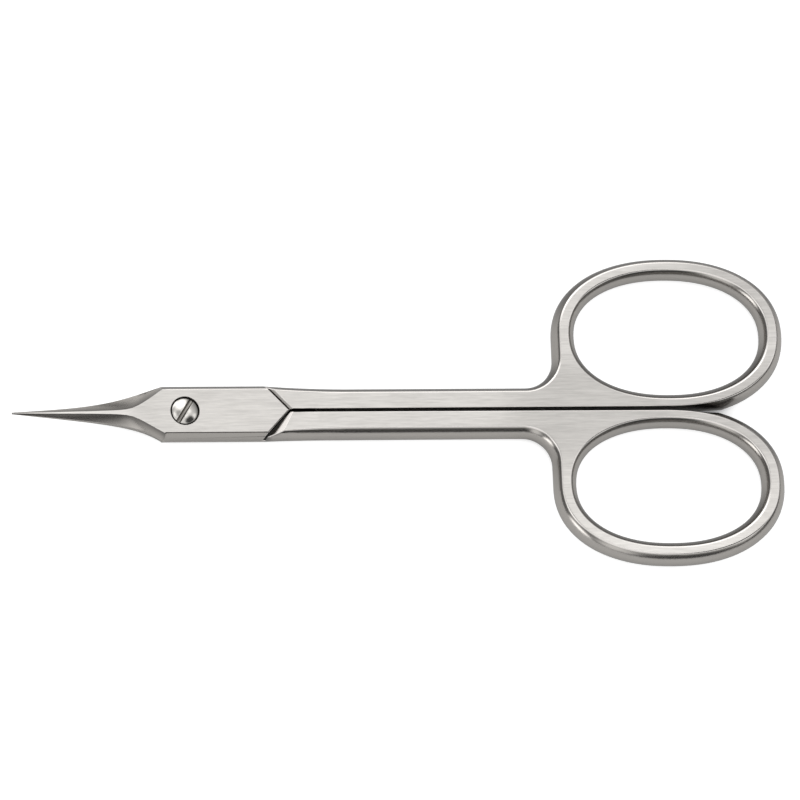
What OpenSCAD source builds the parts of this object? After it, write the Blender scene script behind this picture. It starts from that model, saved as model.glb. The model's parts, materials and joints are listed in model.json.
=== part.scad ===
// Cuticle scissors: two lapped steel halves that turn on one slotted pivot screw.
// The closed scissors lie flat, tips towards -X and finger rings towards +X.

/* [Overall] */
// Thickness of each half where the two lie side by side
thickness = 4.0; // [3.4:0.1:4.8]
// Gap between the two halves where one slides on the other
lap_gap = 0.05; // [0.02:0.01:0.1]
// Gap between the two shanks when the scissors are closed
seam_gap = 0.38; // [0.2:0.02:0.8]
// Gap between the two rings' flat faces when the scissors are closed
ring_gap = 0.5; // [0.4:0.02:1]

/* [Blades] */
// Pivot to the tip
tip_reach = 22.2; // [19:0.1:27]
// How far the tips curve upwards
blade_rise = 1.1; // [0:0.1:1.6]
// Pivot to where the blades start to curve upwards
rise_start = 4.6; // [4.6:0.1:8]
// Thickness of one blade at its tip
tip_thickness = 0.14; // [0.1:0.02:0.4]
// Width of a blade at its tip
tip_width = 0.2; // [0.16:0.02:0.6]
// Narrowing of a blade's width for each millimetre, along its slim part
blade_taper = 0.155; // [0.12:0.005:0.24]
// How fast a blade narrows just in front of the plate
flare_power = 4.2; // [3:0.1:6]
// How far a blade's edges bow to the thumb ring's side, just in front of the plate
edge_bow = 0.2; // [0:0.02:0.3]
// How far its ridge bows to the other side there
ridge_bow = 0.1; // [0:0.02:0.2]
// Width of the flat ridge along a blade, where it leaves the plate's top
ridge_width = 0.48; // [0.3:0.02:1]
// Pivot to where the sides of the plate's top would meet
ridge_start = 6.7; // [5:0.1:9]
// How softly those sides run into the ridge
ridge_soft = 0.74; // [0.3:0.02:1.2]
// How gently a blade starts to thin in front of the plate
thin_power = 1.2; // [1:0.05:1.6]
// Length over which the ridge's fall starts behind the plate, as a share of the blade
thin_start = 0.05; // [0.01:0.01:0.15]
// Depth of the hollow grinding at the plate, as a share of a bevel's height
hollow_share = 0.05; // [0:0.01:0.14]
// Height of the upright land below a blade's bevels, at the plate
edge_land = 0.65; // [0.2:0.05:0.8]

/* [Plate] */
// Pivot to the plate's front corners
plate_front = 2.8; // [2.5:0.05:3.6]
// Width of the plate's flat face
plate_width = 5.76; // [5.2:0.02:6.4]
// How far each side of the plate bulges at half its thickness
plate_bulge = 0.68; // [0.3:0.01:0.9]
// Pivot to the point of the chevron behind the plate
chevron_reach = 13.4; // [11:0.1:15]
// Slant of the chevron's two sides from straight across
chevron_angle = 43; // [35:1:50]
// Gap between the plate and the other half's shoulder
shoulder_gap = 0.28; // [0.15:0.01:0.5]
// Width of the groove across each half behind its plate
groove_width = 0.52; // [0.3:0.02:0.8]
// Depth of that groove
groove_depth = 0.4; // [0.2:0.02:0.6]
// Width of the bevel on a half's shoulder, at the seam
shoulder_bevel = 0.38; // [0.2:0.02:0.6]
// Slant of that bevel's upper edge from straight across
shoulder_slant = 29; // [20:1:43]
// Slope of that bevel
shoulder_slope = 32; // [20:1:45]
// Size of the chamfer on the plate's own slanted edge
plate_chamfer = 0.14; // [0.05:0.01:0.25]

/* [Shanks] */
// Width of one shank's flat face
shank_width = 2.18; // [1.8:0.02:2.4]
// How far a ring's sides bulge at half its thickness, in its opening and at its ends
ring_bulge = 0.87; // [0.5:0.01:1.1]
// How far the outer side of the thumb ring's half bulges, along the shank and round the ring
thumb_bulge = 0.72; // [0.5:0.01:1.1]
// How far the outer side of the finger ring's half bulges
finger_bulge = 1.06; // [0.5:0.01:1.1]
// Pivot to where the shank has narrowed from the plate's width
taper_end = 22; // [18:0.5:30]
// Radius of the inside curve from a shank up to its ring, on the flat face
web_radius = 4.6; // [2.5:0.1:6.5]

/* [Rings] */
// Pivot to the middle of the thumb ring
thumb_reach = 62.86; // [56:0.02:70]
// Pivot to the middle of the finger ring
finger_reach = 62.36; // [56:0.02:70]
// Clear length of a ring's opening
opening_length = 24; // [21:0.1:26]
// Clear width of a ring's opening
opening_width = 15.3; // [13:0.1:18]
// Flat width of a ring's bar at its two ends
bar_end = 1.2; // [0.8:0.02:2]
// Flat width of a ring's bar along its two long sides
bar_side = 1.0; // [0.8:0.02:2]
// Squareness of the rings: 2 is an ellipse
ring_power = 2.2; // [2:0.05:2.6]

/* [Pivot screw] */
// Diameter of the screw's head
head_d = 3.38; // [3.1:0.02:3.9]
// Height of the head's rim above its seat
head_rim = 0.62; // [0.45:0.01:0.7]
// Height of the head's dome
head_dome = 0.34; // [0.15:0.01:0.45]
// Depth of the counterbore that holds the head
seat_depth = 0.8; // [0.7:0.01:0.95]
// Diameter of the shoulder that the upper half turns on
shoulder_d = 2.3; // [2:0.05:2.6]
// Diameter of the end that is fixed in the lower half
stem_d = 1.8; // [1.5:0.05:1.9]
// Width of the screwdriver slot
slot_width = 0.6; // [0.4:0.02:0.8]
// Depth of the screwdriver slot below the top of the dome
slot_depth = 0.56; // [0.5:0.02:0.6]
// Direction of the slot
slot_angle = 57; // [0:1:180]
// Radial clearance of the turning fit
turn_fit = 0.03; // [0.01:0.01:0.08]
// Radial clearance of the fixed end
stem_fit = 0.01; // [0:0.005:0.02]
// Clearance round the head in its counterbore
head_fit = 0.2; // [0.1:0.01:0.25]

/* [Hidden] */
$fn = 64;

mid = thickness / 2;
seam = seam_gap / 2;
plate_half = plate_width / 2;
shank_half = seam + shank_width;
chevron_tan = tan(chevron_angle);
taper_start = chevron_reach - plate_half * chevron_tan - 0.4;

// Half sizes of a ring's flat face, inside and outside, and its middle across the scissors
inner_x = opening_length / 2 + ring_bulge;
inner_y = opening_width / 2 + ring_bulge;
outer_x = inner_x + bar_end;
outer_y = inner_y + bar_side;
ring_y = ring_gap / 2 + outer_y;

// The pivot stands where the whole length is centred on the origin
rear_reach = max(thumb_reach, finger_reach) + outer_x + ring_bulge;
pivot_x = (tip_reach - rear_reach) / 2;

// Steps along each curve
wall_steps = 10;
quarter_steps = 26;
web_steps = 12;
blade_steps = 22;
bevel_steps = 5;
// Both sides of a ring stop this many degrees short of its end
ring_end = 1.2;

overlap = 1;
beyond = 20;
// The groove and the chamfer both end this far from the chevron's point
tool_end = 0.02;

// Heights at which a bulging wall is drawn, closest together near its edges
wall_heights = [for (k = [0:wall_steps]) mid + mid * sin(-50 + 100 * k / wall_steps) / sin(50)];

// How far a wall that bulges by d stands out at height z
function wall_out(d, z) =
    d <= 0 || abs(z - mid) >= mid ? 0 :
    let (r = (mid * mid + d * d) / (2 * d))
    sqrt(r * r - (z - mid) * (z - mid)) - (r - d);

// Direction from the middle of a rounded ring at angle t
function ring_dir(t) = [
    sign(cos(t)) * pow(abs(cos(t)), 2 / ring_power),
    sign(sin(t)) * pow(abs(sin(t)), 2 / ring_power)
];

// A rail is a list of outline points, each with its outward direction and its bulge
function rail_point(p, dir, d) = [p[0], p[1], dir[0], dir[1], d];

// 1 along the plate, falling smoothly to 0 where the shank is slim
function flare(x) = pow(max(0, min(1, (taper_end - x) / (taper_end - taper_start))), 2);
function side_half(x) = shank_half + (plate_half - shank_half) * flare(x);
function side_bulge(x, bulge) = bulge + (plate_bulge - bulge) * flare(x);
// The ring's bulge at its ends, and the outer side's own bulge where the wall faces straight out
function outer_bulge(dir, bulge) = ring_bulge + (bulge - ring_bulge) * max(0, dir[1]);

split = chevron_reach + 1;

// Where a half's shoulder meets the seam
shoulder_x = chevron_reach + shoulder_gap / cos(chevron_angle) - seam * chevron_tan;

near_stations = concat([-plate_front], [for (i = [0:4]) taper_start + (split - taper_start) * i / 4]);
far_stations = [for (i = [0:6]) split + 0.2 + (taper_end - split - 0.2) * i / 6];

// The outer side of a half: plate, shank, web curve and the far side of the ring
function outer_rail(reach, bulge) =
    let (left = reach - outer_x)
    let (cx = left - web_radius)
    let (cy = shank_half + web_radius)
    concat(
        [for (x = concat(near_stations, far_stations))
            rail_point([x, side_half(x)], [0, 1], side_bulge(x, bulge))],
        [for (i = [0:web_steps]) let (t = -90 + 90 * i / web_steps)
            rail_point([cx + web_radius * cos(t), cy + web_radius * sin(t)], [-cos(t), -sin(t)],
                outer_bulge([-cos(t), -sin(t)], bulge))],
        [for (i = [0:2 * quarter_steps - 1])
            let (t = 180 - (180 - ring_end) * i / (2 * quarter_steps - 1))
            rail_point([reach + outer_x * ring_dir(t)[0], ring_y + outer_y * ring_dir(t)[1]],
                ring_dir(t), outer_bulge(ring_dir(t), bulge))]
    );

// The seam side of a half, point for point with the outer side
function seam_rail(reach, bulge) =
    let (left = reach - outer_x)
    concat(
        [for (x = near_stations) rail_point([x, -side_half(x)], [0, -1], side_bulge(x, bulge))],
        [for (x = far_stations) rail_point([x, seam], [0, -1], 0)],
        [for (i = [0:web_steps]) rail_point([left - web_radius + web_radius * sin(90 * i / web_steps),
            seam], [0, -1], 0)],
        [for (i = [0:quarter_steps]) let (q = (i + 1) / (quarter_steps + 1))
            rail_point([left + outer_x * q, seam + (ring_y - outer_y - seam) * q * q], [0, -1], 0)],
        [for (i = [1:quarter_steps - 1]) let (t = -90 + (90 - ring_end) * i / (quarter_steps - 1))
            let (y = ring_y + outer_y * ring_dir(t)[1])
            rail_point([reach + outer_x * ring_dir(t)[0], y], ring_dir(t),
                min(ring_bulge, (y - ring_y + outer_y) / -ring_dir(t)[1]))]
    );

// One side of a ring's opening, from its left end to its right end
function opening_rail(reach, side) = [
    for (i = [0:2 * quarter_steps - 1])
        let (t = side * (180 - ring_end - (180 - 2 * ring_end) * i / (2 * quarter_steps - 1)))
        rail_point([reach + inner_x * ring_dir(t)[0], ring_y + inner_y * ring_dir(t)[1]],
            -ring_dir(t), ring_bulge)
];

// Solid between two rails, whose walls bulge at half height
module slab(upper, lower, heights) {
    n = len(upper);
    m = 2 * n;
    top = len(heights) - 1;
    outline = concat(upper, [for (i = [n - 1:-1:0]) lower[i]]);
    points = [for (z = heights) for (p = outline) let (out = wall_out(p[4], z))
        [p[0] + p[2] * out, p[1] + p[3] * out, z]];
    walls = [for (k = [0:top - 1]) for (i = [0:m - 1])
        let (a = k * m + i, b = k * m + (i + 1) % m)
        each [[a, b, b + m], [a, b + m, a + m]]];
    floor_faces = [for (i = [0:n - 2]) [m - 2 - i, i + 1, i, m - 1 - i]];
    roof_faces = [for (i = [0:n - 2]) [for (v = [i, i + 1, m - 2 - i, m - 1 - i]) v + top * m]];
    polyhedron(points = points, faces = concat(floor_faces, walls, roof_faces), convexity = 6);
}

// A straight V-shaped tool along the chevron's line, opening upwards from depth to width
module chevron_tool(width, depth) {
    rotate([90, 0, 0])
        linear_extrude(height = beyond, center = true)
            polygon([[0, -depth], [width * (1 + 1 / depth), 1], [-0.001, 1], [-0.001, -depth]]);
}

// A straight tool along Y for the shoulder's bevel, above a plane that falls towards -X
module shoulder_tool() {
    fall = mid - lap_gap;
    rotate([90, 0, 0])
        linear_extrude(height = beyond, center = true)
            polygon([
                [-fall / tan(shoulder_slope), -fall],
                [overlap / tan(shoulder_slope), overlap],
                [-fall / tan(shoulder_slope), overlap]
            ]);
}

// Turns a tool that lies along Y onto the chevron's line, on the side of the scissors given by side
module on_chevron(side, shift = 0) {
    translate([chevron_reach, 0, 0])
        rotate([0, 0, side * chevron_angle])
            translate([shift, 0, 0])
                children();
}

// Plan of all that is in front of the other half's shoulder
module lap_plan() {
    back = chevron_reach + shoulder_gap / cos(chevron_angle);
    polygon([
        [-beyond, -beyond],
        [split + overlap, -beyond],
        [split + overlap, seam],
        [back - seam * chevron_tan, seam],
        [back - beyond * chevron_tan, beyond],
        [-beyond - beyond, beyond]
    ]);
}

// Plan of what lies behind the plate's slanted edge, on the other half's side of the seam
module behind_plan() {
    polygon([
        [chevron_reach + seam * chevron_tan, seam],
        [chevron_reach - beyond * chevron_tan, -beyond],
        [split + overlap, -beyond],
        [split + overlap, seam]
    ]);
}

// Handle and plate of one half, with the pivot at the origin and the plate on top
module handle_and_plate(reach, bulge) {
    difference() {
        slab(outer_rail(reach, bulge), seam_rail(reach, bulge), wall_heights);
        slab(opening_rail(reach, 1), opening_rail(reach, -1),
            concat([-overlap], wall_heights, [thickness + overlap]));
        translate([0, 0, -overlap])
            linear_extrude(height = mid + lap_gap / 2 + overlap)
                lap_plan();
        translate([0, 0, -overlap])
            linear_extrude(height = thickness + 2 * overlap)
                behind_plan();
        intersection() {
            translate([0, 0, thickness])
                on_chevron(1)
                    chevron_tool(groove_width, groove_depth);
            translate([0, tool_end, -overlap])
                cube([beyond, beyond, thickness + 2 * overlap]);
        }
        translate([shoulder_x + shoulder_bevel, seam, 0])
            rotate([0, 0, shoulder_slant])
                mirror([0, 0, 1])
                    shoulder_tool();
        intersection() {
            translate([0, 0, thickness])
                on_chevron(-1)
                    mirror([1, 0, 0])
                        chevron_tool(plate_chamfer, plate_chamfer);
            translate([0, -beyond - tool_end, -overlap])
                cube([beyond, beyond, thickness + 2 * overlap]);
        }
    }
}

// Share of a blade's length that is left at distance s from the pivot
function blade_left(s) = max(0, (tip_reach - s) / (tip_reach - plate_front));
// Height of the sliding face between the blades
function lap_height(s) = mid + blade_rise * pow(max(0, s - rise_start) / (tip_reach - rise_start), 2);

root_half = plate_half + wall_out(plate_bulge, mid + edge_land) - 0.02;
root_flare = root_half - tip_width / 2 - blade_taper / 2 * (tip_reach - plate_front);
// The plate's top beyond the ridge, on each side, and how steeply it narrows
top_flare = plate_half - 0.01 - ridge_width / 2;
top_narrowing = (top_flare - ridge_soft * ridge_soft / (4 * top_flare)) / (ridge_start - plate_front);
function soft_ramp(u, soft) = (u + sqrt(u * u + soft * soft)) / 2;
function edge_half(s) =
    tip_width / 2 + blade_taper / 2 * (tip_reach - s) + root_flare * pow(blade_left(s), flare_power);
function ridge_half(s) =
    tip_width / 8 + (ridge_width / 2 - tip_width / 8) * blade_left(s)
    + soft_ramp(top_narrowing * (ridge_start - s), ridge_soft)
    - soft_ramp(top_narrowing * (ridge_start - tip_reach), ridge_soft) * (1 - blade_left(s));
// Share of its fall that the ridge has made at distance s from the pivot, starting level
function ridge_fall(s) =
    let (q = 1 - blade_left(s))
    pow(q, thin_power) * q * (1 + thin_start) / (q + thin_start);
function blade_thick(s) =
    tip_thickness + (mid - lap_gap / 2 - tip_thickness) * (1 - ridge_fall(s));
function land(s) = tip_thickness / 2 + (edge_land - tip_thickness / 2) * blade_left(s);

// A bow of 1 just in front of the plate, dying away to nothing at the plate and at the tip
function bow(s) = (1 - blade_left(s)) * pow(blade_left(s), 6) * 7 / pow(6 / 7, 6);

// One side of a blade's section, from the sliding face up over the hollow bevel to the ridge
function blade_side(s, side) =
    let (low = [edge_half(s) + side * edge_bow * bow(s), land(s)])
    let (high = [ridge_half(s) - side * ridge_bow * bow(s), blade_thick(s)])
    let (run = high - low)
    let (hollow = hollow_share * blade_left(s))
    concat([[low[0], 0]], [for (k = [0:bevel_steps]) let (q = k / bevel_steps)
        low + run * q - [run[1], -run[0]] * hollow * 4 * q * (1 - q)]);

blade_stations = concat([plate_front - 0.6],
    [for (i = [0:blade_steps]) plate_front + (tip_reach - plate_front) * pow(i / blade_steps, 1.4)]);

// A blade with the pivot at the origin; up is 1 for the upper blade and -1 for the lower
module blade(up) {
    rows = [for (s = blade_stations)
        let (at = max(s, plate_front), left_side = blade_side(at, -1))
        concat([for (p = blade_side(at, 1)) [-s, p[0], lap_height(at) + up * (lap_gap / 2 + p[1])]],
            [for (i = [len(left_side) - 1:-1:0])
                [-s, -left_side[i][0], lap_height(at) + up * (lap_gap / 2 + left_side[i][1])]])];
    n = len(rows[0]);
    last = len(rows) - 1;
    walls = [for (k = [0:last - 1]) for (i = [0:n - 1])
        let (a = k * n + i, b = k * n + (i + 1) % n)
        each [[a, b, b + n], [a, b + n, a + n]]];
    caps = [for (i = [0:n / 2 - 2]) each [
        [n - 1 - i, n - 2 - i, i + 1, i],
        [for (v = [i, i + 1, n - 2 - i, n - 1 - i]) v + last * n]
    ]];
    faces = concat(walls, caps);
    polyhedron(points = [for (r = rows) each r],
        faces = up > 0 ? faces : [for (f = faces) [for (i = [len(f) - 1:-1:0]) f[i]]], convexity = 4);
}

// The upper half, with the thumb ring
module thumb_half() {
    color("#c9c6c0")
        translate([pivot_x, 0, 0])
            difference() {
                union() {
                    handle_and_plate(thumb_reach, thumb_bulge);
                    blade(1);
                }
                cylinder(d = shoulder_d + 2 * turn_fit, h = thickness + overlap);
                translate([0, 0, thickness - seat_depth])
                    cylinder(d = head_d + 2 * head_fit, h = seat_depth + overlap);
            }
}

// The lower half, with the finger ring: the same handle turned over
module finger_half() {
    color("#bdbab4")
        translate([pivot_x, 0, 0])
            difference() {
                union() {
                    translate([0, 0, thickness])
                        rotate([180, 0, 0])
                            handle_and_plate(finger_reach, finger_bulge);
                    blade(-1);
                }
                translate([0, 0, -overlap])
                    cylinder(d = stem_d + 2 * stem_fit, h = thickness);
            }
}

// The slotted screw that joins the halves: head, turning shoulder and fixed end
module pivot_screw() {
    seat = thickness - seat_depth + turn_fit;
    rim = seat + head_rim;
    dome_r = (pow(head_d / 2, 2) + pow(head_dome, 2)) / (2 * head_dome);
    color("#e4e2de")
        translate([pivot_x, 0, 0])
            difference() {
                union() {
                    translate([0, 0, 0.03])
                        cylinder(d = stem_d, h = seat);
                    translate([0, 0, mid - lap_gap / 2])
                        cylinder(d = shoulder_d, h = seat - mid + lap_gap / 2 + head_rim / 2);
                    translate([0, 0, seat])
                        cylinder(d = head_d, h = head_rim);
                    intersection() {
                        translate([0, 0, rim + head_dome - dome_r])
                            sphere(r = dome_r);
                        translate([0, 0, rim - head_rim / 2])
                            cylinder(d = head_d, h = head_rim / 2 + head_dome);
                    }
                }
                translate([0, 0, rim + head_dome - slot_depth + slot_width / 2])
                    rotate([0, 0, slot_angle]) {
                        translate([-head_d, -slot_width / 2, 0])
                            cube([2 * head_d, slot_width, slot_depth + overlap]);
                        rotate([0, 90, 0])
                            cylinder(d = slot_width, h = 2 * head_d, center = true);
                    }
            }
}

finger_half();
pivot_screw();
thumb_half();
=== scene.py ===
import json
import math

import bpy
from mathutils import Matrix, Vector


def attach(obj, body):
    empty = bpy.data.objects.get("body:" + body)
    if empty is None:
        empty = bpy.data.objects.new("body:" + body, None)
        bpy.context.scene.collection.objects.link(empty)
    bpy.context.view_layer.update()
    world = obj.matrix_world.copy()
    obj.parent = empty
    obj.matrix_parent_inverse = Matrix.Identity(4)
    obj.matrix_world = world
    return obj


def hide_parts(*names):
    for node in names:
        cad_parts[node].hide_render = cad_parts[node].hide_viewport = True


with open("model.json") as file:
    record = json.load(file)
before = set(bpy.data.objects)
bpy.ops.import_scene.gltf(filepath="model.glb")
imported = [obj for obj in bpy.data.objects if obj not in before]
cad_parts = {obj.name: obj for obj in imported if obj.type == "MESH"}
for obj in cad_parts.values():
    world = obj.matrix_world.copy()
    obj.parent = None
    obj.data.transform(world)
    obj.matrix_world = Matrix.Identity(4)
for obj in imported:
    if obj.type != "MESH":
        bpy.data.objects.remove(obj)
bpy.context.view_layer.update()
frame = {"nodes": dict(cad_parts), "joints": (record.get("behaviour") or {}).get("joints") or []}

MM = 0.001

# Places on the scissors, in metres. The pivot and the height of the lap between the halves
# come from the frame, and X runs from the points towards the rings
PIVOT_X, _, LAP_Z = frame["joints"][0]["pos_m"]
TOP = 2 * LAP_Z
BLADE_ROOT = PIVOT_X - 2.7 * MM
CROWN_START = PIVOT_X + 17 * MM

# Camera

CAMERA_YAW, CAMERA_PITCH, CAMERA_ROLL = 8.63, 14.344, -0.3425
CAMERA_DISTANCE = 4.0
CLIP_NEAR, CLIP_FAR = 0.1, 20.0
SENSOR_WIDTH = 36.0
PICTURE_PIXELS = 800
PIXELS_PER_MM = 7.8342
AIM_RIGHT = 27.44 * MM
AIM_UP = 1.3626 * MM


def view_axes(yaw, pitch, roll):
    """Right, up and towards-the-camera directions for a camera over the scissors."""
    y, p, r = (math.radians(a) for a in (yaw, pitch, roll))
    toward = Vector((-math.sin(y) * math.cos(p), -math.sin(p), math.cos(y) * math.cos(p)))
    toward.normalize()
    level = (Vector((1, 0, 0)) - toward * toward.x).normalized()
    rise = toward.cross(level)
    right = math.cos(r) * level + math.sin(r) * rise
    up = -math.sin(r) * level + math.cos(r) * rise
    return right, up, toward


def place_camera():
    """A camera far off with a long lens, aimed from the top of the pivot."""
    right, up, toward = view_axes(CAMERA_YAW, CAMERA_PITCH, CAMERA_ROLL)
    data = bpy.data.cameras.new("camera")
    data.sensor_width = SENSOR_WIDTH
    data.lens = SENSOR_WIDTH * CAMERA_DISTANCE / (PICTURE_PIXELS / PIXELS_PER_MM * MM)
    data.clip_start = CLIP_NEAR
    data.clip_end = CLIP_FAR
    camera = bpy.data.objects.new("camera", data)
    bpy.context.scene.collection.objects.link(camera)
    camera.matrix_world = Matrix((
        (right.x, up.x, toward.x, 0),
        (right.y, up.y, toward.y, 0),
        (right.z, up.z, toward.z, 0),
        (0, 0, 0, 1)))
    aim = Vector((PIVOT_X, 0, TOP)) + right * AIM_RIGHT + up * AIM_UP
    camera.location = aim + toward * CAMERA_DISTANCE
    bpy.context.scene.camera = camera


# Materials

LINE_CONTRAST = 0.11
PATCH_CONTRAST = 0.035
NOISE_LOW, NOISE_HIGH = 0.3, 0.7
LINE_RELIEF = 0.0008 * MM
CHEVRON_SLANT = math.radians(43)

# Painted light and shade on the flats' steel: darker where the shanks run into the rings, at the
# thumb ring's far end and on the lap under the shoulder's gap, lighter on the finger ring's near
# side and on the blades' ridges. Each row gives the share that it gains or loses, and along which
# measures, between which places in mm, that comes in
PAINTED_LIGHT_ZONES = (
    (-0.17, (("along", 8, 20), ("aside", 9, 4))),  # where the shanks run into the rings
    (-0.2, (("along", 30, 44), ("across", 5, 16))),  # the thumb ring's far end
    (0.16, (("across", -9, -20),)),  # the finger ring's near side
    (0.2, (("along", -33, -36.5),)),  # the ridges of the blades
    (-0.93, (("behind", 8.5, 8.9), ("off_lap", 0.6, 0.3))),  # the lap under the shoulder's gap
)


def linear(hex_colour):
    """sRGB hex to the linear RGBA that a shader takes."""
    channels = [int(hex_colour[i:i + 2], 16) / 255 for i in (1, 3, 5)]
    levels = [c / 12.92 if c <= 0.04045 else ((c + 0.055) / 1.055) ** 2.4 for c in channels]
    return tuple(levels + [1.0])


def add(tree, kind, links=(), **settings):
    """Adds a node, sets its properties and sockets, and links its inputs."""
    node = tree.nodes.new(kind)
    for key, value in settings.items():
        if key.startswith("in_"):
            name = key[3:]
            socket = int(name) if name.isdigit() else name.replace("_", " ")
            node.inputs[socket].default_value = value
        else:
            setattr(node, key, value)
    for name, socket in dict(links).items():
        tree.links.new(socket, node.inputs[name])
    return node


def metal(name, colour, roughness):
    """A bare metal in one colour, with the default IOR."""
    mat = bpy.data.materials.new(name)
    mat.use_nodes = True
    shader = mat.node_tree.nodes["Principled BSDF"]
    shader.inputs["Base Color"].default_value = linear(colour)
    shader.inputs["Metallic"].default_value = 1.0
    shader.inputs["Roughness"].default_value = roughness
    return mat


def tint(mat, colour, tones):
    """Makes the base colour the given one times each of the tones."""
    t = mat.node_tree
    total = tones[0]
    for tone in tones[1:]:
        total = add(t, "ShaderNodeMath", {0: total, 1: tone}, operation="MULTIPLY").outputs[0]
    result = add(t, "ShaderNodeVectorMath", {"Scale": total}, operation="SCALE",
                 in_0=linear(colour)[:3])
    t.links.new(result.outputs[0], t.nodes["Principled BSDF"].inputs["Base Color"])


def streaks(t, where, length, width, detail, coarseness):
    """Noise drawn out along X, its grain as long and as wide as given in mm."""
    scale = (1 / (length * MM), 1 / (width * MM), 1 / (width * MM))
    drawn = add(t, "ShaderNodeMapping", {"Vector": where}, in_Scale=scale).outputs[0]
    noise = add(t, "ShaderNodeTexNoise", {"Vector": drawn}, in_Scale=1.0, in_Detail=detail,
                in_Roughness=coarseness)
    return noise.outputs["Fac"]


def measures(t, where):
    """The places in PAINTED_LIGHT_ZONES, by name: along, across and aside of the scissors' middle line,
    behind the pivot square to the chevron, and off the lap in height."""
    at = add(t, "ShaderNodeSeparateXYZ", {0: where})
    along, across, height = (at.outputs[axis] for axis in "XYZ")
    aside = add(t, "ShaderNodeMath", {0: across}, operation="ABSOLUTE").outputs[0]
    cos, sin = math.cos(CHEVRON_SLANT), math.sin(CHEVRON_SLANT)
    behind = add(t, "ShaderNodeMath", {0: along}, operation="MULTIPLY_ADD",
                 in_1=cos, in_2=-PIVOT_X * cos).outputs[0]
    behind = add(t, "ShaderNodeMath", {0: aside, 2: behind}, operation="MULTIPLY_ADD",
                 in_1=sin).outputs[0]
    off_lap = add(t, "ShaderNodeMath", {0: height}, operation="SUBTRACT", in_1=LAP_Z).outputs[0]
    off_lap = add(t, "ShaderNodeMath", {0: off_lap}, operation="ABSOLUTE").outputs[0]
    return {"along": along, "across": across, "aside": aside, "behind": behind,
            "off_lap": off_lap}


def painted_light_tones(t, where):
    """A tone of painted light and shade for each zone: 1 outside it, and changed by its share
    inside.
    """
    places = measures(t, where)
    tones = []
    for change, spans in PAINTED_LIGHT_ZONES:
        share = None
        for name, start, end in spans:
            ease = add(t, "ShaderNodeMapRange", {0: places[name]}, interpolation_type="SMOOTHSTEP",
                       in_1=start * MM, in_2=end * MM, in_3=0.0, in_4=1.0).outputs[0]
            if share is not None:
                ease = add(t, "ShaderNodeMath", {0: share, 1: ease}, operation="MULTIPLY").outputs[0]
            share = ease
        tones.append(add(t, "ShaderNodeMath", {0: share}, operation="MULTIPLY_ADD",
                         in_1=change, in_2=1.0).outputs[0])
    return tones


def brushed(name, colour, roughness):
    """Satin steel with fine brush lines along X, of uneven length and strength, and painted light
    and shade in zones.
    """
    mat = metal(name, colour, roughness)
    t = mat.node_tree
    where = add(t, "ShaderNodeTexCoord").outputs["Object"]
    lines = streaks(t, where, length=3.03, width=0.2174, detail=3.0, coarseness=0.65)
    patches = streaks(t, where, length=14.286, width=2.381, detail=2.0, coarseness=0.5)
    tones = []
    for noise, contrast in ((lines, LINE_CONTRAST), (patches, PATCH_CONTRAST)):
        tones.append(add(t, "ShaderNodeMapRange", {0: noise}, in_1=NOISE_LOW, in_2=NOISE_HIGH,
                         in_3=1 - contrast, in_4=1 + contrast).outputs[0])
    tint(mat, colour, tones + painted_light_tones(t, where))
    bump = add(t, "ShaderNodeBump", {"Height": lines}, in_Strength=1.0, in_Distance=LINE_RELIEF)
    t.links.new(bump.outputs[0], t.nodes["Principled BSDF"].inputs["Normal"])
    return mat


def painted_shading_steel(name, colour, roughness, attribute, light, deep):
    """Satin steel with painted light and shade: its tone goes from light to deep with the piece's
    own attribute.
    """
    mat = metal(name, colour, roughness)
    t = mat.node_tree
    share = add(t, "ShaderNodeAttribute", attribute_name=attribute).outputs["Fac"]
    tone = add(t, "ShaderNodeMapRange", {0: share}, in_1=0.0, in_2=1.0, in_3=light, in_4=deep)
    tint(mat, colour, [tone.outputs[0]])
    return mat


# The broad ground faces: light warm grey steel with fine lengthwise brush lines in a soft sheen, and
# zones of painted light and shade. The lines are drawn coarser than real ones, so that they show
flat_steel = brushed("satin_brushed_painted_light_stainless", "#cdcac6", 0.29)
# The rounded sides: smoother and greyer, with painted shade that deepens them to near black round
# the far side
wall_steel = painted_shading_steel("satin_side_painted_shade", "#c0bcb7", 0.2, "painted_shade_side", 1.0, 0.36)
# The blades' hollow bevels: painted shade, dark beside the ridge, and painted light, bright towards
# the cutting edge
bevel_steel = painted_shading_steel("ground_blade_painted_light_and_shade", "#b4b0ab", 0.24, "ridge_side", 1.6, 0.42)
# Dull steel, dark with painted shade, between the halves, in the screw's seat and on its sides,
# and along the plate's low edge, which makes every gap read as a dark line
gap_shade_steel = metal("painted_shade_gap_stainless", "#4a4744", 0.45)
# Rounded edges in brighter, smoother steel: a painted highlight, a thin glint along each outline
highlight_edge_steel = metal("painted_highlight_edge", "#e6e2de", 0.16)
# The small slanted face behind the plate, which catches the brightest light
shoulder_steel = metal("bright_shoulder_stainless", "#c6c2be", 0.2)
# Mirror-like screw head with strong light and dark shapes
screw_steel = metal("polished_stainless", "#d6d3ce", 0.13)
# Milled slot, duller than the head and darker with painted shade in its recess, with soft grey sides
slot_shade_steel = metal("cut_slot_painted_shade", "#8f8c87", 0.3)

HALF_FINISHES = [flat_steel, wall_steel, bevel_steel, gap_shade_steel, highlight_edge_steel, shoulder_steel]
FLAT, WALL, BEVEL, GAP, EDGE, SHOULDER = range(6)
SCREW_FINISHES = [screw_steel, slot_shade_steel, gap_shade_steel, screw_steel]
HEAD, SLOT, SIDE, RIM = range(4)

# Pieces

MERGE_DISTANCE = 0.002 * MM
COPLANAR = math.radians(0.4)
FLAT_MARGIN = 0.1 * MM

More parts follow.
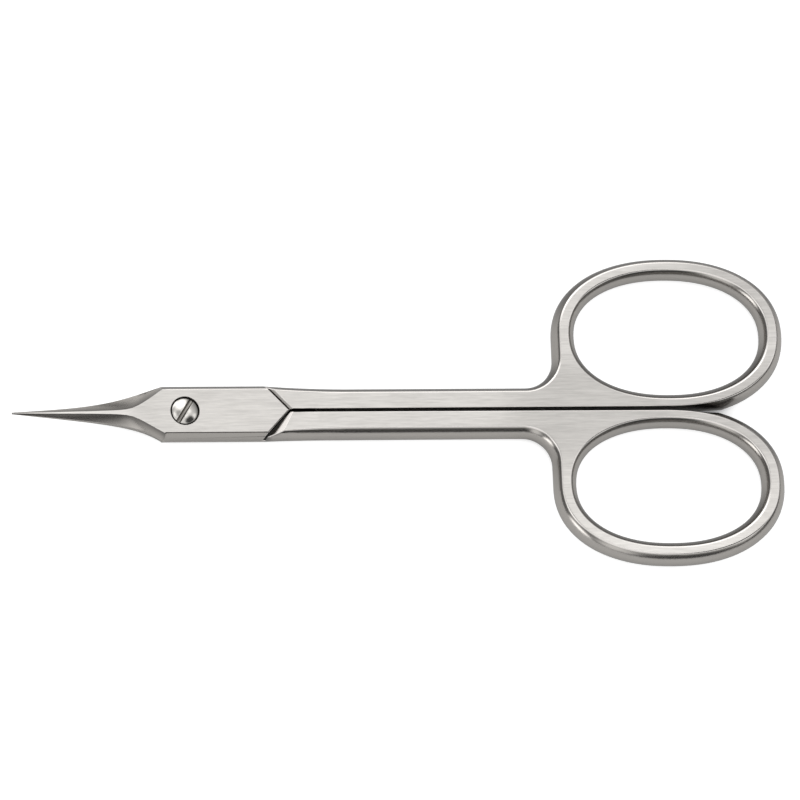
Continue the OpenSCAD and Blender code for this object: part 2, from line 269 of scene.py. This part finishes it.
# How upright a face's normal is: at the least on a flat, in general and on a blade, from and to
# on the shoulder's slanted face, and at the most on a wall of the chevron or of the screw
UPRIGHT = 0.985
BLADE_UPRIGHT = 0.93
SLANTED = (0.5, 0.93)
CHEVRON_WALL = 0.3
SCREW_SIDE = 0.2
# How far a normal points along the scissors on the shoulder's face and on the chevron's walls,
# and how far sideways on the seam's walls, at the least
SHOULDER_TURN = 0.3
CHEVRON_TURN = 0.4
SEAM_TURN = 0.95

# The screw's seat: its radius, and the least height of its faces
SEAT_RADIUS = 2.25 * MM
SEAT_FOOT = 1 * MM
# Stretches behind the pivot, in mm
PLATE = (-2.9, 10.5)
CHEVRON = (8, 15)
CHEVRON_EDGES = (8, 14.5)
SHOULDER_FACES = (8, 17)
SEAM_START = 12
# Half widths of the plate's flat and of the seam, and the least height of the plate's rim
PLATE_SIDE = 2.6 * MM
SEAM_SIDE = 0.24 * MM
PLATE_RIM_Z = 3.8 * MM

PLATE_CUTS = (PIVOT_X - 2.1 * MM, PIVOT_X - 2.6 * MM)
CROWN_WIDTH = 0.24 * MM
CROWN_DROP = 0.014 * MM
CROWN_MARGIN = 0.1 * MM

# How far a side faces the back where its painted shade begins, and how much more where it is full
PAINTED_SHADE_START = -0.1
PAINTED_SHADE_SPAN = 0.8
# Keeps a row of a blade's bevel that lies level from dividing by nothing
LEAST_RISE = 1e-6

SHARP = math.radians(28)
SMOOTH = math.radians(35)
AREA_WEIGHT = 100
ROUND_STEPS = 3
HALF_ROUNDING = 0.11 * MM
SCREW_ROUNDING = 0.04 * MM
CLOSE_FIT_SHARE = 0.3
PLATE_EDGE_SHARE = 0.6

# The screw's slot, and the least heights of its faces and of the screw's sides, which are dark with
# painted shade
SLOT_ANGLE = math.radians(57)
SLOT_HALF_WIDTH = 0.302 * MM
SLOT_FROM_Z = 3 * MM
SIDE_FROM_Z = 1.5 * MM


def only(ob):
    """Makes ob the one that is selected and active."""
    bpy.ops.object.select_all(action="DESELECT")
    ob.select_set(True)
    bpy.context.view_layer.objects.active = ob


def edit(ob, faces=None):
    """Goes into edit mode with all the faces selected, or with those for which faces is true."""
    only(ob)
    bpy.ops.object.mode_set(mode="EDIT")
    bpy.ops.mesh.select_mode(type="FACE")
    if faces is None:
        bpy.ops.mesh.select_all(action="SELECT")
        return
    bpy.ops.mesh.select_all(action="DESELECT")
    bpy.ops.object.mode_set(mode="OBJECT")
    for p in ob.data.polygons:
        p.select = faces(p)
    bpy.ops.object.mode_set(mode="EDIT")


def copy_of(node, finishes):
    """A merged copy of a node's mesh with its flat faces made whole, and with its finishes."""
    ob = bpy.data.objects.new(node + "_finished", frame["nodes"][node].data.copy())
    bpy.context.scene.collection.objects.link(ob)
    edit(ob)
    bpy.ops.mesh.remove_doubles(threshold=MERGE_DISTANCE)
    bpy.ops.mesh.dissolve_limited(angle_limit=COPLANAR)
    bpy.ops.object.mode_set(mode="OBJECT")
    ob.data.materials.clear()
    for finish in finishes:
        ob.data.materials.append(finish)
    return ob


def back_mm(co):
    """How far behind the pivot a place lies, in mm."""
    return (co.x - PIVOT_X) / MM


def within(value, stretch):
    """Whether a value lies inside a stretch."""
    return stretch[0] < value < stretch[1]


def near_pivot(co):
    """Whether a place lies inside the screw's seat, seen from above."""
    return math.hypot(co.x - PIVOT_X, co.y) < SEAT_RADIUS


def on_plate_low_edge(co):
    """Whether co is on the long edge of the plate's flat that faces the front of the picture."""
    return within(back_mm(co), PLATE) and co.y < -PLATE_SIDE and co.z > PLATE_RIM_Z


def outer_flat(p):
    """Whether a face is one of the flats on the outside, behind the blades."""
    outside = p.center.z > TOP - FLAT_MARGIN or p.center.z < FLAT_MARGIN
    return abs(p.normal.z) > UPRIGHT and p.center.x > BLADE_ROOT and outside


def face_finish(mesh, p):
    """Which of the half's finishes a face has, by its place in HALF_FINISHES."""
    # The screw's seat, the seam and the chevron's walls take the dark gap steel: painted shade
    # between the parts
    in_seat = all(near_pivot(mesh.vertices[v].co) for v in p.vertices)
    if in_seat and SEAT_FOOT < p.center.z < TOP - FLAT_MARGIN:
        return GAP
    on_blade = p.center.x < BLADE_ROOT
    if abs(p.normal.z) > (BLADE_UPRIGHT if on_blade else UPRIGHT):
        return FLAT
    if on_blade:
        return BEVEL
    back = back_mm(p.center)
    lengthwise, sideways, upright = (abs(n) for n in p.normal)
    on_shoulder_side = (p.center.z > LAP_Z) == (p.center.y < 0)
    slanted = within(upright, SLANTED) and lengthwise > SHOULDER_TURN
    if within(back, SHOULDER_FACES) and slanted and on_shoulder_side:
        return SHOULDER
    seam = abs(p.center.y) < SEAM_SIDE and sideways > SEAM_TURN and back > SEAM_START
    chevron = within(back, CHEVRON) and upright < CHEVRON_WALL and lengthwise > CHEVRON_TURN
    return GAP if seam or chevron else WALL


def mark_painted_shade_sides(ob):
    """Own attribute for painted shade: 1 where a side faces the back of the picture, 0 where it
    faces the front.
    """
    mesh = ob.data
    deep = mesh.attributes.new("painted_shade_side", "FLOAT", "POINT")
    totals = [Vector((0, 0, 0)) for v in mesh.vertices]
    for p in mesh.polygons:
        if abs(p.normal.z) < UPRIGHT:
            for v in p.vertices:
                totals[v] += p.normal * p.area
    for v, n in enumerate(totals):
        level = Vector((n.x, n.y)).normalized() if n.length else Vector((0, 0))
        share = min(1.0, max(0.0, (level.y - PAINTED_SHADE_START) / PAINTED_SHADE_SPAN))
        deep.data[v].value = share * share * (3 - 2 * share)


def mark_ridge_sides(ob, upper):
    """Own attribute on a blade's bevels, which places their painted light and shade: 0 at the
    cutting edge, rising to 1 at the ridge. The vertices at one place along the blade, to 0.01 mm,
    are a row of their own."""
    mesh = ob.data
    ridge = mesh.attributes.new("ridge_side", "FLOAT", "POINT")
    rows = {}
    for p in mesh.polygons:
        if p.material_index == BEVEL:
            for v in p.vertices:
                rows.setdefault(round(mesh.vertices[v].co.x, 5), set()).add(v)
    for row in rows.values():
        heights = {v: mesh.vertices[v].co.z * (1 if upper else -1) for v in row}
        low, high = min(heights.values()), max(heights.values())
        for v, z in heights.items():
            ridge.data[v].value = (z - low) / max(high - low, LEAST_RISE)


def crown(ob):
    """Rounds the outer flats off a little towards their edges: an inset band with a lowered rim.
    The cuts keep the shading of the plate apart from the blade's and from the shank's."""
    for cut in (CROWN_START, *PLATE_CUTS):
        edit(ob)
        bpy.ops.mesh.bisect(plane_co=(cut, 0, 0), plane_no=(1, 0, 0))
        bpy.ops.object.mode_set(mode="OBJECT")
    edit(ob, lambda p: outer_flat(p) and p.center.x > CROWN_START)
    bpy.ops.mesh.inset(thickness=CROWN_WIDTH, depth=0, use_even_offset=True, use_boundary=True)
    bpy.ops.object.mode_set(mode="OBJECT")
    mesh = ob.data
    flat = {v for p in mesh.polygons if outer_flat(p) for v in p.vertices}
    rim = {v for p in mesh.polygons if not outer_flat(p) for v in p.vertices} & flat
    for v in rim:
        co = mesh.vertices[v].co
        if co.x > CROWN_START + CROWN_MARGIN:
            co.z += -CROWN_DROP if co.z > LAP_Z else CROWN_DROP


def edge_share(mid, finishes):
    """Share of the full rounding that a sharp edge of a half gets."""
    if near_pivot(mid) or mid.x < BLADE_ROOT:
        return 0.0
    by_chevron = within(back_mm(mid), CHEVRON_EDGES) and abs(mid.y) < PLATE_SIDE
    if GAP in finishes or by_chevron:
        return CLOSE_FIT_SHARE
    if on_plate_low_edge(mid):
        return PLATE_EDGE_SHARE
    return 1.0


def round_edges(ob, width, share, finish):
    """Rounds the sharp edges, each by its share of width, and gives the rounding a finish."""
    mesh = ob.data
    sides = {}
    for p in mesh.polygons:
        for key in p.edge_keys:
            sides.setdefault(key, []).append(p)
    weights = mesh.attributes.new("bevel_weight_edge", "FLOAT", "EDGE")
    for e in mesh.edges:
        ps = sides.get(e.key, [])
        if len(ps) == 2 and ps[0].normal.angle(ps[1].normal, 0) > SHARP:
            mid = (mesh.vertices[e.key[0]].co + mesh.vertices[e.key[1]].co) / 2
            weights.data[e.index].value = share(mid, {p.material_index for p in ps})
    mod = ob.modifiers.new("edges", "BEVEL")
    mod.width = width
    mod.segments = ROUND_STEPS
    mod.limit_method = "WEIGHT"
    mod.use_clamp_overlap = False
    mod.miter_outer = "MITER_ARC"
    mod.material = finish
    only(ob)
    bpy.ops.object.modifier_apply(modifier=mod.name)


def smooth(ob, crisp):
    """Smooth shading, broken at sharp edges and all round the faces with the crisp finish."""
    only(ob)
    bpy.ops.object.shade_smooth_by_angle(angle=SMOOTH)
    meeting = {}
    for p in ob.data.polygons:
        for key in p.edge_keys:
            meeting.setdefault(key, set()).add(p.material_index)
    for e in ob.data.edges:
        finishes = meeting.get(e.key, set())
        if crisp in finishes and len(finishes) > 1:
            e.use_edge_sharp = True
    mod = ob.modifiers.new("normals", "WEIGHTED_NORMAL")
    mod.keep_sharp = True
    mod.weight = AREA_WEIGHT
    bpy.ops.object.modifier_apply(modifier=mod.name)


def hand_over(ob, node, body):
    """Puts a finished piece in its node's place, on its body."""
    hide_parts(node)
    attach(ob, body)


def finish_half(node, body, upper):
    """One half of the scissors: blade, plate, shank and ring."""
    half = copy_of(node, HALF_FINISHES)
    crown(half)
    for p in half.data.polygons:
        p.material_index = face_finish(half.data, p)
    mark_painted_shade_sides(half)
    mark_ridge_sides(half, upper)
    round_edges(half, HALF_ROUNDING, edge_share, EDGE)
    # The rounding along the plate's low edge takes the dark gap steel: a painted line of shade
    for p in half.data.polygons:
        if p.material_index == EDGE and on_plate_low_edge(p.center):
            p.material_index = GAP
    smooth(half, BEVEL)
    hand_over(half, node, body)


def finish_screw():
    """The pivot screw: polished domed head, a duller slot darkened with painted shade, and
    upright sides dark with painted shade.
    """
    screw = copy_of("pivot_screw", SCREW_FINISHES)
    across = Vector((-math.sin(SLOT_ANGLE), math.cos(SLOT_ANGLE), 0))
    for p in screw.data.polygons:
        off = abs((p.center - Vector((PIVOT_X, 0, 0))).dot(across))
        in_slot = off < SLOT_HALF_WIDTH and p.center.z > SLOT_FROM_Z
        side = abs(p.normal.z) < SCREW_SIDE and p.center.z > SIDE_FROM_Z
        p.material_index = SLOT if in_slot else SIDE if side else HEAD
    round_edges(screw, SCREW_ROUNDING, lambda mid, finishes: 1.0, RIM)
    smooth(screw, SIDE)
    hand_over(screw, "pivot_screw", "finger_side")


# Floor and light

FLOOR_SIZE = 8.0
FLOOR_DROP = 0.05 * MM
FLOOR_GLOW = 0.86
FLOOR_MIRRORED = 0.25
SHADOW_REACH = 3 * MM
MIRRORED_SHADOW_REACH = 12 * MM
SHADOW_SAMPLES = 12
# How open the floor is in the full shadow and where the shadow ends, and what the first leaves
SHADOW_FULL, SHADOW_END = 0.05, 0.45
SHADOW_LEVEL = 0.05

# The studio's light by height: from 0, the horizon and below, to 1, overhead, and how bright
STUDIO_RAMP = ((0.0, 0.10), (0.35, 0.18), (0.64, 0.42), (0.87, 0.9), (0.96, 1.0))
STUDIO_LEAST = 0.05

# Soft round panels in the studio: azimuth and elevation, the radius of the full part and of
# the whole, all in degrees, and the light that it adds, or takes away where that is negative
PANELS = (
    (97, 50, 8, 27, 1.1),
    (112, 10, 4, 24, 0.9),
    (85, 30, 4, 18, 0.5),
    (218, 3, 6, 19, 2.3),
    (131, 25, 9, 26, 1.3),
    (203, 38, 6, 18, 0.9),
    (321, 58, 8, 21, -1.1),
    (160, 76, 4, 15, -0.5),
    (176, 60, 3, 11, 0.55),
    (37, 66, 3, 12, 0.5),
    (355, 47, 4, 13, 0.5),
    (283, 6, 8, 20, -0.22),
    (252, 15, 5, 17, 0.8),
    (255, 38, 4, 18, 0.5),
    (285, 40, 4, 14, 0.25),
    (318, 22, 3, 12, 0.4),
    (340, 78, 3, 11, 0.4),
    (315, 34, 8, 24, 0.45),
)


def floor_material():
    """Matte white that glows for the camera and, dimly, in the steel's reflections. Close to
    the scissors it glows less, which leaves their soft shadow."""
    mat = bpy.data.materials.new("matte_white_floor")
    mat.use_nodes = True
    t = mat.node_tree
    t.nodes.clear()
    path = add(t, "ShaderNodeLightPath")
    open_far = add(t, "ShaderNodeAmbientOcclusion", samples=SHADOW_SAMPLES,
                   in_Distance=MIRRORED_SHADOW_REACH).outputs["AO"]
    mirrored = add(t, "ShaderNodeMath", {0: open_far, 1: path.outputs["Is Glossy Ray"]},
                   operation="MULTIPLY").outputs[0]
    open_near = add(t, "ShaderNodeAmbientOcclusion", samples=SHADOW_SAMPLES,
                    in_Distance=SHADOW_REACH).outputs["AO"]
    shadow = add(t, "ShaderNodeMapRange", {0: open_near}, interpolation_type="SMOOTHSTEP",
                 in_1=SHADOW_FULL, in_2=SHADOW_END, in_3=SHADOW_LEVEL, in_4=1.0).outputs[0]
    rays = {0: path.outputs["Is Camera Ray"], 1: path.outputs["Is Transmission Ray"]}
    seen = add(t, "ShaderNodeMath", rays, operation="MAXIMUM").outputs[0]
    seen = add(t, "ShaderNodeMath", {0: seen, 1: shadow}, operation="MULTIPLY").outputs[0]
    level = add(t, "ShaderNodeMath", {0: seen}, operation="MULTIPLY", in_1=FLOOR_GLOW).outputs[0]
    level = add(t, "ShaderNodeMath", {0: mirrored, 2: level}, operation="MULTIPLY_ADD",
                in_1=FLOOR_MIRRORED).outputs[0]
    glow = add(t, "ShaderNodeEmission", {"Strength": level}, in_Color=linear("#ffffff"))
    matte = add(t, "ShaderNodeBsdfDiffuse", in_Color=linear("#bcbcbc"))
    both = add(t, "ShaderNodeAddShader", {0: matte.outputs[0], 1: glow.outputs[0]})
    add(t, "ShaderNodeOutputMaterial", {"Surface": both.outputs[0]})
    return mat


def lay_floor():
    """The floor that the scissors lie on, which is scenery and no piece of theirs."""
    bpy.ops.object.select_all(action="DESELECT")
    bpy.ops.mesh.primitive_plane_add(size=FLOOR_SIZE, location=(0, 0, -FLOOR_DROP))
    floor = bpy.context.object
    floor.name = "floor"
    floor.data.materials.append(floor_material())


def studio_light(t, where):
    """The studio's level in the direction where: the ramp by height with all the panels."""
    height = add(t, "ShaderNodeSeparateXYZ", {0: where}).outputs["Z"]
    ramp = add(t, "ShaderNodeValToRGB", {0: height})
    stops = ramp.color_ramp.elements
    while len(stops) < len(STUDIO_RAMP):
        stops.new(0.5)
    for stop, (position, level) in zip(stops, STUDIO_RAMP):
        stop.position = position
        stop.color = (level, level, level, 1)
    total = ramp.outputs[0]
    for azimuth, elevation, inner, outer, strength in PANELS:
        a, e = math.radians(azimuth), math.radians(elevation)
        centre = (math.cos(a) * math.cos(e), math.sin(a) * math.cos(e), math.sin(e))
        near = add(t, "ShaderNodeVectorMath", {0: where}, operation="DOT_PRODUCT", in_1=centre)
        lit = add(t, "ShaderNodeMapRange", {0: near.outputs["Value"]},
                  interpolation_type="SMOOTHSTEP", in_1=math.cos(math.radians(outer)),
                  in_2=math.cos(math.radians(inner)), in_3=0.0, in_4=strength).outputs[0]
        total = add(t, "ShaderNodeMath", {0: total, 1: lit}, operation="ADD").outputs[0]
    return add(t, "ShaderNodeMath", {0: total}, operation="MAXIMUM", in_1=STUDIO_LEAST).outputs[0]


def light_studio():
    """The world as a soft studio, the only light beside the floor's glow."""
    world = bpy.data.worlds.new("studio")
    bpy.context.scene.world = world
    world.use_nodes = True
    t = world.node_tree
    t.nodes.clear()
    where = add(t, "ShaderNodeTexCoord").outputs["Generated"]
    light = add(t, "ShaderNodeBackground", {"Color": studio_light(t, where)}, in_Strength=1.0)
    add(t, "ShaderNodeOutputWorld", {"Surface": light.outputs[0]})


place_camera()
finish_half("finger_half", "finger_side", upper=False)
finish_half("thumb_half", "thumb_side", upper=True)
finish_screw()
lay_floor()
light_studio()
bpy.context.scene.view_settings.view_transform = "Standard"
